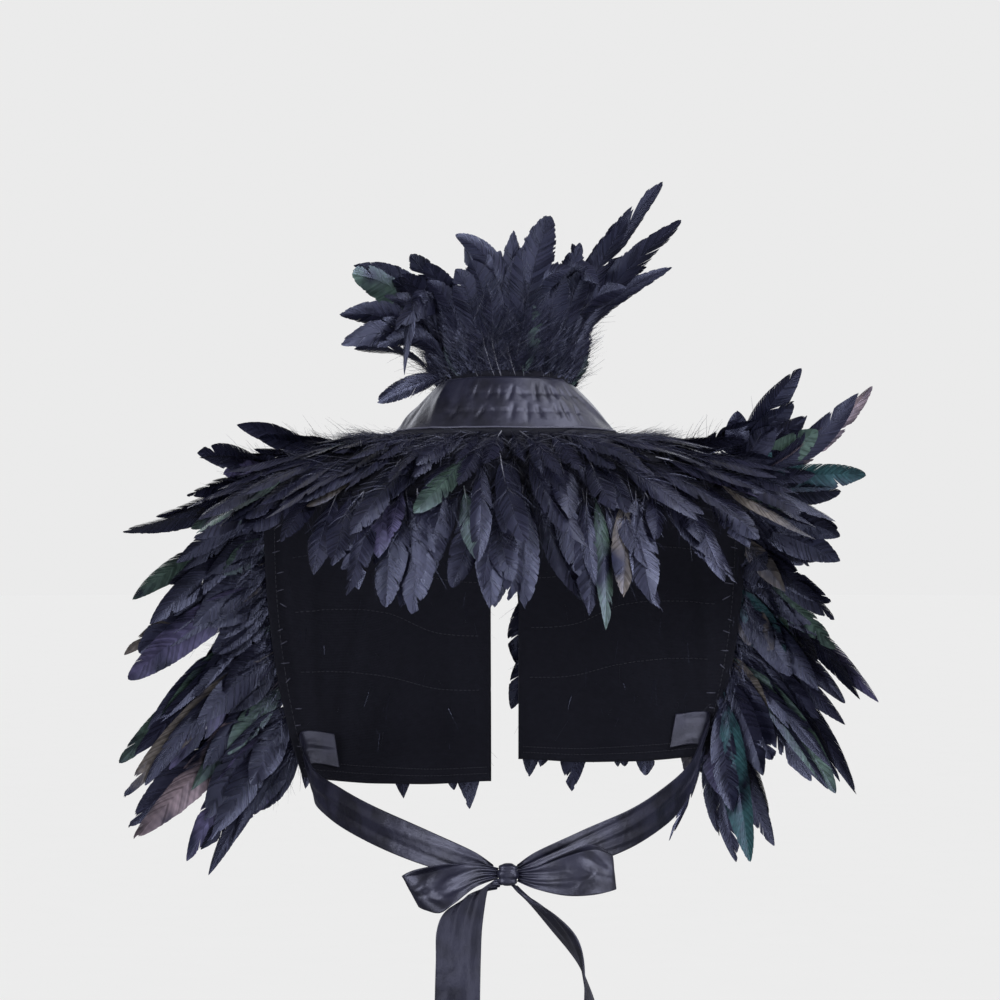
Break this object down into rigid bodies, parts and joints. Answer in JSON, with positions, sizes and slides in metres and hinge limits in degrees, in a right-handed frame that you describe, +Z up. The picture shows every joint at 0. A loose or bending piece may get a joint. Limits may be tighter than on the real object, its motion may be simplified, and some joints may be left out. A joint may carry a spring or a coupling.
{
  "type": "feather cape",
  "caption": "Short black feather cape in its worn shape: gathered satin neckband, stand-up feather collar, back yoke, two feathered fronts and ribbons tied in a bow at the back.",
  "frame": {"origin": "middle of the neck hole, level with the neckband's lower edge at the back, where the wearer's neck holds the cape up", "axes": "+Z up, +Y the wearer's front, +X the wearer's right"},
  "size_m": [0.6174, 0.2874, 0.6971],
  "materials": {
    "satin": "black satin with a soft blue-grey sheen",
    "knit": "matt black knit",
    "feathers": "black cockerel feathers with green, teal, purple and bronze glints"
  },
  "bodies": {
    "root": {"neckband": "satin", "yoke_back": "knit", "front_left": "knit", "waist_ribbon_left": "satin", "front_right": "knit", "waist_ribbon_right": "satin", "bow_loop_right": "satin", "bow_loop_left": "satin", "bow_tail_left": "satin", "bow_tail_right": "satin", "bow_knot": "satin", "neck_knot": "satin", "neck_tie_right": "satin", "neck_tie_left": "satin", "feathers_edge_left": "feathers", "feathers_front_5_left": "feathers", "feathers_front_4_left": "feathers", "feathers_front_3_left": "feathers", "feathers_front_2_left": "feathers", "feathers_front_1_left": "feathers", "feathers_front_neckline_left": "feathers", "feathers_edge_right": "feathers", "feathers_front_5_right": "feathers", "feathers_front_4_right": "feathers", "feathers_front_3_right": "feathers", "feathers_front_2_right": "feathers", "feathers_front_1_right": "feathers", "feathers_front_neckline_right": "feathers", "feathers_shoulder_left": "feathers", "feathers_shoulder_right": "feathers", "feathers_yoke_edge": "feathers", "feathers_yoke_middle": "feathers", "feathers_neckline": "feathers", "feathers_collar": "feathers"}
  },
  "joints": []
}
